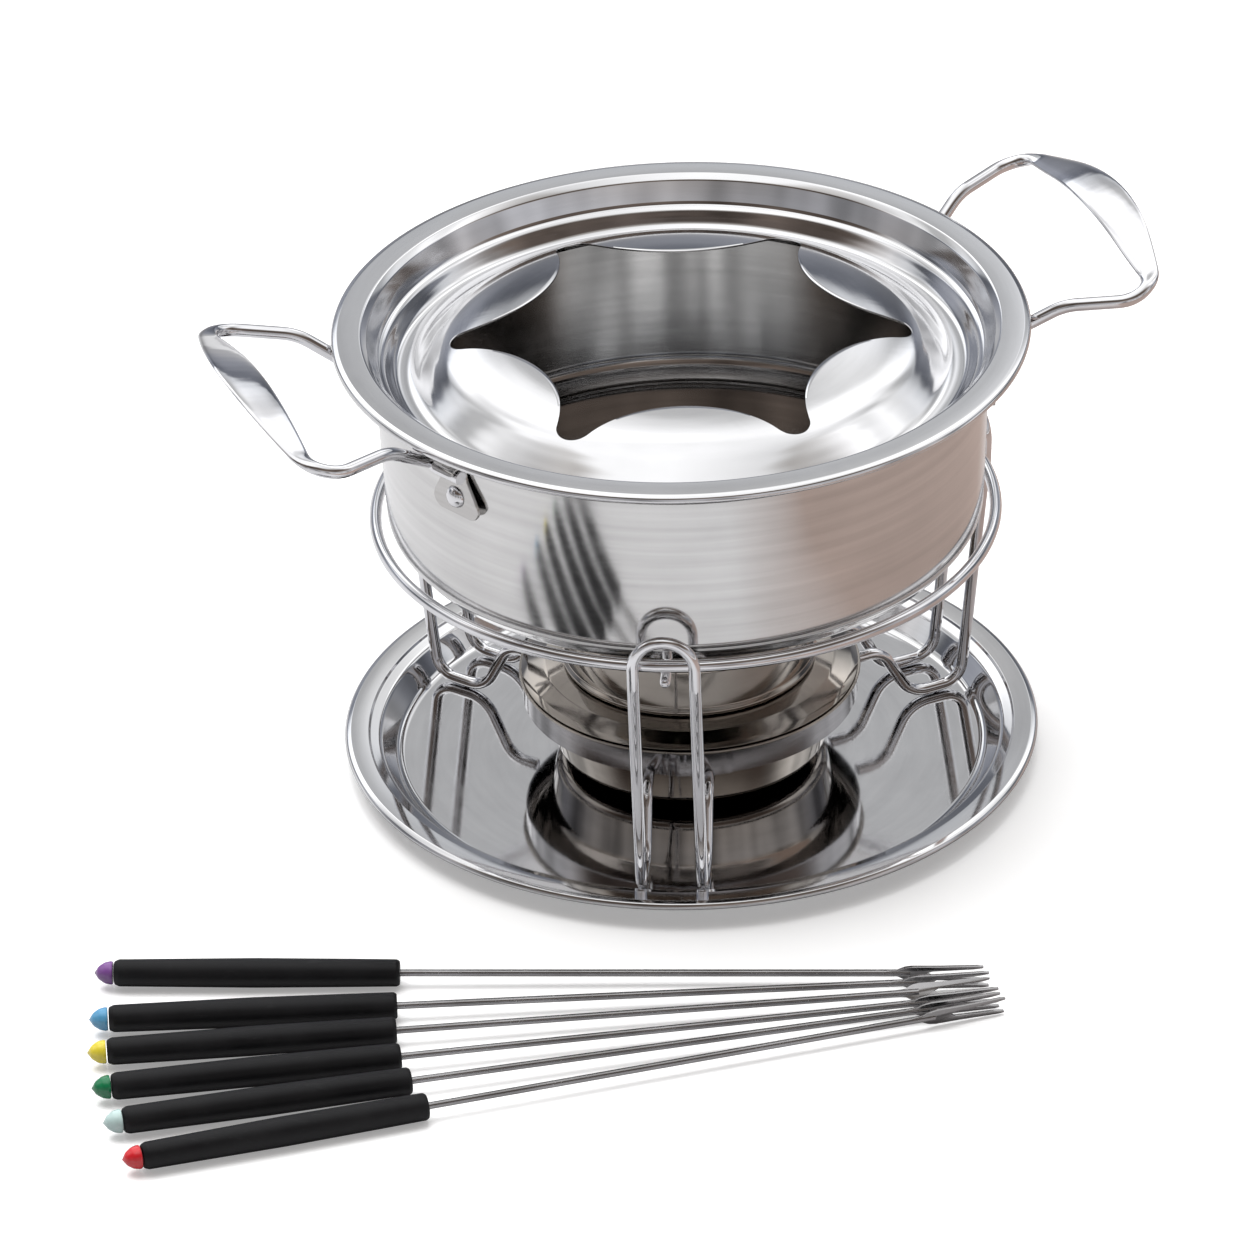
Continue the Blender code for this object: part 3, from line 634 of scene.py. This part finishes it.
def handle_path():
    """The wire's centre line: out of one curl, up past the lid, round the grip and back to the other curl."""
    around = math.radians(BRACKET_ANGLE)
    seat = Vector((math.cos(around), math.sin(around), 0)) * (POT_WALL + 3.2) + Vector((0, 0, SEAT_HEIGHT))
    along = Vector((math.sin(around), -math.cos(around), 0))
    half = [seat - along * 5.0, seat + along * 4.3, seat + along * 6.8 + Vector((0, 0, 0.8))]
    half += [Vector((101.5, 37.0, 140.0)), Vector((126.3, 48.4, 142.2))]
    other = [Vector((p.x, -p.y, p.z)) for p in reversed(half)]
    return rounded(half + [Vector((131.5, 0, 154.0))] + other, [0, 3, 5, 17, 9, 93, 9, 17, 5, 3, 0], 14)


def refined(path, longest):
    """The same line with points added wherever two lie further apart than longest."""
    found = [path[0]]
    for one, two in zip(path, path[1:]):
        pieces = max(1, math.ceil((two - one).length / longest))
        found += [one.lerp(two, (k + 1) / pieces) for k in range(pieces)]
    return found


def build_handles(chrome, strip):
    """Two wire loops, each flattened into a blade where it is held, and the straps that carry them."""
    path = refined(handle_path(), 1.5)
    reach = [0.0]
    for one, two in zip(path, path[1:]):
        reach.append(reach[-1] + (two - one).length)

    def section(i):
        spread = max(0.0, 1.0 - (abs(reach[i] - reach[-1] / 2) / BLADE_HALF_LENGTH) ** 2)
        flat = smoothstep(spread / 0.35)
        half_width = HANDLE_RADIUS + 4.45 * spread ** 1.1
        half_height = HANDLE_RADIUS - flat * (HANDLE_RADIUS - 0.75)
        return half_width, half_height, Vector((-0.2 * flat, 0, 1)).normalized(), lerp(1.0, 0.7, flat)

    for facing, degrees in HANDLE_ANGLES.items():
        made = tube("handle_wire_" + facing, path, section, 28, place=turned(degrees))
        finish_piece(made, "pot", "chromed_wire", chrome, "handle_" + facing)
        for hand, swing in (("a", -BRACKET_ANGLE), ("b", BRACKET_ANGLE)):
            build_bracket(facing + "_" + hand, degrees + swing, chrome, strip)


def build_bracket(name, degrees, chrome, strip):
    """A strap that tapers up the pot's wall and curls round the handle's wire, with its rivet."""
    inside, thick = POT_WALL, BRACKET_SHEET
    curl = 2.2
    centre = (inside + thick + curl, SEAT_HEIGHT)
    front = [(114.4, 6.0), (114.7, 6.9), (115.3, 7.8), (116.2, 8.5), (117.4, 8.9), (119.0, 8.5), (121.0, 7.5)]
    front += [(123.0, 6.4), (124.8, 5.4), (126.2, 4.7), (127.4, 4.3)]
    line = [Vector((inside + thick / 2, z)) for z, _ in front]
    halves = [half for _, half in front]
    curled = arc(centre, curl + thick / 2, 180, 20, 20)
    line += curled
    halves += [4.2] * (len(curled) - 2) + [3.9, 3.3]
    rows = []
    edge = 0.18
    for i, (p, h) in enumerate(zip(line, halves)):
        before, after = line[max(i - 1, 0)], line[min(i + 1, len(line) - 1)]
        along = (after - before).normalized()
        out = Vector((-along.y, along.x)) * (thick / 2)
        bevel = 1 - edge * 2
        outline = [(1, -h + edge), (1, h - edge), (bevel, h), (-1 + edge * 2, h)]
        outline += [(-1, h - edge), (-1, -h + edge), (-1 + edge * 2, -h), (bevel, -h)]
        rows.append([(p.x + out.x * x, y, p.y + out.y * x) for x, y in outline])
    made = grid("handle_strap_" + name, rows, around=True, caps=True, degrees=40, place=turned(degrees))
    finish_piece(made, "pot", "satin_strip", strip, "handle_bracket_" + name)

    face = inside + thick + 0.1
    wall_inside = 85.25
    profile = [(0, face + 1.9), (1.1, face + 1.8), (2.1, face + 1.4), (2.9, face + 0.75)]
    profile += [(3.25, face + 0.2), (3.3, face), (1.5, face), (1.5, wall_inside), (2.6, wall_inside)]
    profile += [(2.5, wall_inside - 0.5), (1.8, wall_inside - 0.7), (0, wall_inside - 0.75)]
    place = turned(degrees, height=RIVET_HEIGHT) @ ALONG_X
    made = turn("handle_rivet_head_" + name, profile, 32, degrees=45, place=place)
    finish_piece(made, "pot", "chromed_wire", chrome, "handle_rivet_" + name)


def build_burner(steel, wool, gauze):
    """The bowl with its flange, the collar that closes it, and the wadding and gauze inside."""
    top, low, sheet = 26.5, 3.8, 0.8
    wall = [(38.9, low), (41.2, 17.0), (43.6, 22.6), (47.2, top)]
    profile = [(0, low + sheet), (wall[0][0] - sheet, low + sheet)]
    profile += [(r - sheet, z) for r, z in wall[1:3]] + [(46.6, top + sheet), (49.2, top + sheet)]
    profile += [(49.2, top)] + wall[::-1] + [(0, low)]
    line = rounded(profile, [0, 2.6, 9, 9, 2, 0.35, 0.35, 2, 9, 9, 3.2, 0], 7)
    made = turn("burner_bowl_shell", line, BURNER_STEPS, degrees=50)
    finish_piece(made, "burner", "burner_steel", steel, "burner_bowl")

    seat = top + 1.1
    profile = [(34.2, 31.4), (37.0, 31.0), (41.8, 30.2), (46.6, 28.6), (48.6, seat + 0.2)]
    profile += [(48.2, seat), (46.2, seat), (41.0, 29.4), (36.6, 30.2), (33.4, 30.6)]
    profile += [(33.4, 36.0), (34.2, 36.0), (34.2, 31.4)]
    line = rounded(profile, [0, 2, 6, 4, 0.3, 0.3, 3, 5, 3, 0.5, 0.2, 0.2, 0], 6)[:-1]
    made = turn("burner_collar_shell", line, BURNER_STEPS, ring=True, degrees=50)
    finish_piece(made, "burner", "burner_steel", steel, "burner_collar")

    pad = [(0, 21.6), (38.6, 21.6), (39.4, 20.4), (39.2, 15.6), (36.6, 8.0), (33.6, 5.0), (0, 5.0)]
    made = turn("burner_wadding_pad", rounded(pad, 1.2, 4), 96)
    finish_piece(made, "burner", "burner_wadding", wool, "burner_wadding")
    disc = [(0, 23.1), (39.1, 23.1), (39.3, 22.9), (39.3, 22.6), (39.1, 22.4), (0, 22.4)]
    made = turn("burner_gauze_disc", disc, 96)
    finish_piece(made, "burner", "burner_gauze", gauze, "burner_gauze")


def build_regulator(steel):
    """The cap that turns on the collar: a round mouth, a ring of vent slots and a thumb tab."""
    r, foot, roof = 36.4, 31.6, 51.0
    cap = [(14.0, roof + 0.5), (29.5, roof), (33.6, roof - 2.0), (35.4, roof - 5.6), (r - 0.5, foot + 2.2)]
    cap += [(r + 0.5, foot + 1.2), (r + 0.1, foot), (r - 0.9, foot), (r - 1.2, foot + 2.4), (34.6, roof - 5.8)]
    cap += [(32.9, roof - 2.7), (29.2, roof - 0.8), (14.0, roof - 0.3), (14.0, roof + 0.5)]
    line = rounded(cap, [0, 5, 3, 3, 0.6, 0.6, 0.4, 0.4, 1, 3, 2, 4, 0.2, 0], 5)[:-1]
    made = turn("burner_cap_shell", line, BURNER_STEPS, ring=True, degrees=50)
    for k in range(VENTS):
        vent = arc((26.2, 0), 1.9, -90, 90, 12) + arc((19.8, 0), 1.9, 90, 270, 12)
        cutter = plate("vent_cutter", vent, 10.0, 0.0, turned((k + 0.5) * 360 / VENTS, height=roof))
        boolean = made.modifiers.new("vent", "BOOLEAN")
        boolean.operation = "DIFFERENCE"
        boolean.object = cutter
        bpy.context.view_layer.update()
        mesh = bpy.data.meshes.new_from_object(made.evaluated_get(bpy.context.evaluated_depsgraph_get()))
        made.modifiers.clear()
        made.data = mesh
        bpy.data.objects.remove(cutter, do_unlink=True)
    made.data.shade_smooth()
    made.data.set_sharp_from_angle(angle=math.radians(35))
    finish_piece(made, "regulator", "burner_steel", steel, "burner_regulator_cap")

    tab = [(37.2, -4.0), (43.0, -4.0), (47.3, -2.4), (47.3, 2.4), (43.0, 4.0), (37.2, 4.0)]
    line = rounded(tab + [tab[0]], [0, 6, 2.4, 2.4, 6, 0.1, 0], 6)[:-1]
    made = plate("burner_tab_blade", line, 1.2, 0.2, turned(90, height=39.6))
    finish_piece(made, "regulator", "burner_steel", steel, "burner_regulator_tab")


def build_fork(number, butt, neck, roll, cap_material, grip_material, steel, cap_slot):
    """A fork on the table, from its butt to the neck of its head, which is rolled about the shaft."""
    far = FORK_GRIP_LENGTH
    start = Vector((butt[0], butt[1], FORK_GRIP_RADIUS + 0.45))
    end = Vector((neck[0], neck[1], FORK_NECK_HEIGHT))
    length = (end - start).length
    along = (end - start).normalized()
    side = Vector((0, 0, 1)).cross(along).normalized()
    up = along.cross(side)
    place = Matrix.Translation(start * MM) @ Matrix((along, side, up)).transposed().to_4x4()
    lathe_place = place @ ALONG_X
    body = "fork_%d" % number

    r = FORK_GRIP_RADIUS
    grip = [(0, far - 6), (1.15, far - 6), (1.15, far), (r - 0.85, far), (r - 0.35, far - 0.8)]
    grip += [(r - 0.2, far - 14), (r, far - 40), (r - 0.35, 1.4), (r - 1.0, 0), (0, 0)]
    line = rounded(grip, [0, 0.2, 0.3, 0.6, 1.2, 60, 120, 2.0, 0.8, 0], 6)
    made = turn(body + "_grip_moulding", line, 48, degrees=40, place=lathe_place)
    finish_piece(made, body, "fork_grip", grip_material, body + "_grip")

    cap = [(0, -0.3), (r - 0.95, -0.3), (r - 0.85, -1.0), (r - 1.2, -2.6), (r - 2.3, -4.3), (0, -5.5)]
    made = turn(body + "_cap_dome", rounded(cap, [0, 0.3, 1, 3, 2.5, 0], 5), 40, degrees=50, place=lathe_place)
    finish_piece(made, body, cap_slot, cap_material, body + "_cap")

    half = FORK_HEAD_WIDTH / 2
    tine = FORK_HEAD_LENGTH
    edge = [(-4.5, 0.62), (0.0, 0.72), (2.6, half * 0.86), (4.6, half), (12.0, half), (tine - 1.6, half + 0.35)]
    edge += [(tine, half + 0.1), (tine - 0.2, half - 0.35), (tine - 3.0, half - 0.85), (10.2, 0.9), (8.6, 0.0)]
    radii = [0, 3, 3, 3, 30, 1.5, 0.3, 0.5, 8, 1.2, 0]
    upper = rounded(edge, radii, 4)
    outline = [(p.x, -p.y) for p in upper[:-1]] + [(p.x, p.y) for p in reversed(upper)]
    turn_head = Matrix.Translation((length * MM, 0, 0)) @ Matrix.Rotation(math.radians(roll), 4, "X")
    blade = plate(body + "_blade", outline, FORK_HEAD_SHEET, 0.16, place @ turn_head)
    path = [Vector((x, 0, 0)) for x in (far - 5.4, length - 6.0, length - 3.0, length - 0.6, length + 1.4)]
    sizes = [(1.0, 1.0), (1.0, 1.0), (1.0, 0.95), (1.1, 0.7), (1.4, 0.42)]
    tilt = Vector((0, -math.sin(math.radians(roll)), math.cos(math.radians(roll))))
    path = spline(path, 4)

    def section(i):
        a = min(i // 4, 3)
        t = i / 4 - a
        wide = lerp(sizes[a][0], sizes[a + 1][0], t)
        thin = lerp(sizes[a][1], sizes[a + 1][1], t)
        return wide, thin, tilt, 1.0

    made = tube(body + "_shaft", path, section, 20, place=place)
    shape = bmesh.new()
    shape.from_mesh(made.data)
    shape.from_mesh(blade.data)
    shape.to_mesh(made.data)
    shape.free()
    bpy.data.objects.remove(blade, do_unlink=True)
    made.data.set_sharp_from_angle(angle=math.radians(35))
    made.name = body + "_shaft_and_tines"
    finish_piece(made, body, "fork_steel", steel, body + "_steel")


def build_forks(steel, grip):
    """Six forks side by side, one for each cap colour."""
    rows = [
        ("purple", (0.21, 0.08, 0.30), (-162.0, -121.0), (54.6, -129.8), 104),
        ("light_blue", (0.12, 0.42, 0.72), (-162.5, -144.3), (56.0, -134.9), 104),
        ("yellow", (0.80, 0.66, 0.05), (-162.3, -160.7), (56.4, -140.2), 36),
        ("green", (0.005, 0.16, 0.06), (-160.4, -178.1), (58.4, -145.5), 104),
        ("pale", (0.55, 0.72, 0.70), (-156.6, -194.9), (59.0, -149.4), 104),
        ("red", (0.70, 0.02, 0.03), (-150.8, -212.5), (60.6, -153.5), 104),
    ]
    for i, (name, colour, butt, neck, roll) in enumerate(rows):
        dark = tuple(c * 0.7 for c in colour)
        finish = moulded("cap_gloss_" + name, colour, dark, 0.22, 1500.0, 0.02, coat=0.4)
        build_fork(i + 1, butt, neck, roll, finish, grip, steel, "fork_cap_" + name)


def build_floor():
    """A pale floor. To the camera it glows faintly, painted light that lifts the shadows cast on it; in
    reflections and bounced light it shows a darker tone, warmer towards +X, which is a painted reflection of a
    room.
    """
    bpy.ops.mesh.primitive_circle_add(vertices=96, radius=2.2, fill_type="NGON", location=(0, 0, -0.0002))
    floor = bpy.context.object
    floor.name = "floor"
    n = Nodes("floor_pale")
    paper = n.noise(n.coords, 14.0, 4.0)
    pale = n.mix(n.remap(paper, 0.0, 1.0, 0.4, 0.6), *FLOOR_SEEN)
    seen = n.add("LightPath").outputs["Is Camera Ray"]
    across = n.add("SeparateXYZ", {0: n.coords}).outputs[0]
    cloudy = n.noise(n.coords, 7.0, 1.0)
    warm = n.remap(n.math("ADD", across, n.math("MULTIPLY", cloudy, 0.08)), 0.0, 1.0, 0.09, 0.20)
    # Painted reflection: reflections and bounced light see a darker floor, warmer towards +X.
    n.to("Base Color", n.mix(seen, n.mix(warm, *FLOOR_PAINTED_REFLECTION), pale))
    # Painted light: the floor glows faintly to the camera, which lifts the shadows cast on it.
    n.to("Emission Color", (1.0, 1.0, 1.0, 1.0))
    n.to("Emission Strength", n.math("MULTIPLY", seen, 0.30))
    n.to("Roughness", 0.85)
    n.to("Specular IOR Level", 0.2)
    floor.data.materials.append(n.material)


def build_light():
    """One soft box overhead, which the metal doesn't mirror."""
    lamp = bpy.data.lights.new("soft_box_top", "AREA")
    lamp.shape = "RECTANGLE"
    lamp.size, lamp.size_y = 1.5, 1.2
    lamp.energy = 30
    made = bpy.data.objects.new("soft_box_top", lamp)
    made.location = (-0.25, 0.25, 1.6)
    made.rotation_euler = Vector(made.location).to_track_quat("Z", "Y").to_euler()
    made.visible_glossy = False
    bpy.context.scene.collection.objects.link(made)


def build_surround():
    """A light surround for the metal to reflect. It is plain white behind the object."""
    world = bpy.data.worlds.new("plain_surround")
    bpy.context.scene.world = world
    world.use_nodes = True
    tree = world.node_tree

    def node(kind, inputs, **settings):
        made = tree.nodes.new("ShaderNode" + kind)
        for key, value in settings.items():
            setattr(made, key, value)
        for key, value in inputs.items():
            if isinstance(value, bpy.types.NodeSocket):
                tree.links.new(value, made.inputs[key])
            else:
                made.inputs[key].default_value = value
        return made.outputs

    def math_node(operation, a, b=0.0):
        return node("Math", {0: a, 1: b}, operation=operation)[0]

    def remap(value, start, end, low, high):
        inputs = {"Value": value, "From Min": start, "From Max": end, "To Min": low, "To Max": high}
        return node("MapRange", inputs)[0]

    def sky(stops):
        """Brightness by elevation: 0 is straight down, 0.5 the horizon and 1 straight up."""
        ramp = tree.nodes.new("ShaderNodeValToRGB")
        ramp.color_ramp.interpolation = "EASE"
        while len(ramp.color_ramp.elements) < len(stops):
            ramp.color_ramp.elements.new(0.5)
        for element, (place, colour) in zip(ramp.color_ramp.elements, stops):
            element.position = place
            element.color = (*colour, 1.0)
        tree.links.new(height, ramp.inputs["Fac"])
        return ramp.outputs["Color"]

    way = tree.nodes.new("ShaderNodeTexCoord").outputs["Generated"]
    split = node("SeparateXYZ", {0: way})
    rise = math_node("ARCSINE", split[2])
    height = node("Math", {0: rise, 1: 1 / math.pi, 2: 0.5}, operation="MULTIPLY_ADD")[0]
    inputs = {"Value": split[1], "From Min": -0.25, "From Max": 0.35}
    side = node("MapRange", inputs, interpolation_type="SMOOTHSTEP")[0]
    room = node("Mix", {0: side, 6: sky(FRONT_SKY), 7: sky(BEHIND_SKY)}, data_type="RGBA")[2]

    # Low down the surround is patchy, as a furnished room is; overhead it is a little dimmer towards +X.
    stretched = node("VectorMath", {0: way, 1: (1.0, 1.0, 0.3)}, operation="MULTIPLY")[0]
    patches = node("TexNoise", {"Vector": stretched, "Scale": 3.2, "Detail": 1.5, "Roughness": 0.5})["Fac"]
    uneven = remap(patches, 0.36, 0.66, 0.55, 1.7)
    low_down = remap(height, 0.74, 0.84, 1.0, 0.0)
    patchy = math_node("MULTIPLY", math_node("ADD", uneven, -1.0), low_down)
    rightward = remap(split[0], -0.05, 0.4, 1.06, 0.74)
    overhead = remap(height, 0.80, 0.88, 0.0, 1.0)
    dimmer = math_node("MULTIPLY", math_node("ADD", rightward, -1.0), overhead)
    shade = math_node("ADD", math_node("ADD", patchy, dimmer), 1.0)
    room = node("VectorMath", {0: room, 3: shade}, operation="SCALE")[0]
    is_camera = node("LightPath", {})["Is Camera Ray"]
    seen = node("Mix", {0: is_camera, 6: room, 7: (1, 1, 1, 1)}, data_type="RGBA")[2]
    tree.links.new(seen, tree.nodes["Background"].inputs["Color"])
    tree.nodes["Background"].inputs["Strength"].default_value = 1.0
    bpy.context.scene.view_settings.view_transform = "Standard"


def build_camera():
    """A long lens from the front, 29 degrees above the table."""
    eye = Vector((0.0, -2.2362, 1.3664))
    target = Vector((-0.01906, 0.0, 0.04174))
    forward = (target - eye).normalized()
    right = forward.cross(Vector((0, 0, 1))).normalized()
    up = right.cross(forward)
    roll = math.radians(-1.77)
    x = right * math.cos(roll) + up * math.sin(roll)
    y = up * math.cos(roll) - right * math.sin(roll)
    lens = bpy.data.cameras.new("camera")
    lens.sensor_width = 36.0
    lens.lens = 262.13
    lens.clip_start = 0.05
    made = bpy.data.objects.new("camera", lens)
    made.matrix_world = Matrix.Translation(eye) @ Matrix((x, y, -forward)).transposed().to_4x4()
    bpy.context.scene.collection.objects.link(made)
    bpy.context.scene.camera = made


def main():
    build_camera()
    polished = turned_steel(
        "steel_polished", (0.76, 0.76, 0.775), (0.68, 0.68, 0.69), 0.07, lines=2400.0, bump=0.05, smears=0.05
    )
    tray_steel = turned_steel(
        "steel_tray", (0.74, 0.74, 0.75), (0.64, 0.64, 0.65), 0.05, lines=2200.0, bump=0.03, smears=0.035
    )
    pot_steel = turned_steel(
        "steel_pot", (0.74, 0.735, 0.73), (0.58, 0.575, 0.57), 0.08,
        lines=3200.0, bump=0.03, smears=0.05, anisotropic=0.4, around=1.2,
    )
    burner_steel = turned_steel(
        "steel_burner", (0.41, 0.375, 0.34), (0.31, 0.285, 0.255), 0.05, lines=1500.0, bump=0.012, smears=0.03
    )
    strip = turned_steel(
        "steel_strip", (0.60, 0.59, 0.58), (0.47, 0.46, 0.45), 0.11, lines=5200.0, bump=0.06, smears=0.05
    )
    # The burner band gets a darker copy of the strap steel: painted shade for where it sits under the pot.
    band = turned_steel(
        "steel_band_painted_shade", (0.38, 0.37, 0.38), (0.29, 0.285, 0.29), 0.10, lines=5200.0, bump=0.05, smears=0.05
    )
    chrome = bright_wire("chrome_wire", (0.80, 0.80, 0.82), (0.68, 0.68, 0.70), 0.05)
    fork_steel = bright_wire("steel_fork", (0.38, 0.375, 0.38), (0.27, 0.265, 0.265), 0.20)
    grip = moulded("grip_black", (0.011, 0.011, 0.012), (0.006, 0.006, 0.007), 0.48, 2600.0, 0.18, gloss=0.22)
    build_tray(tray_steel)
    build_stand(chrome, band)
    build_pot(pot_steel)
    build_lid(polished)
    build_handles(chrome, strip)
    build_burner(burner_steel, felt_material(), gauze_material())
    build_regulator(burner_steel)
    build_forks(fork_steel, grip)
    build_floor()
    build_light()
    build_surround()


main()
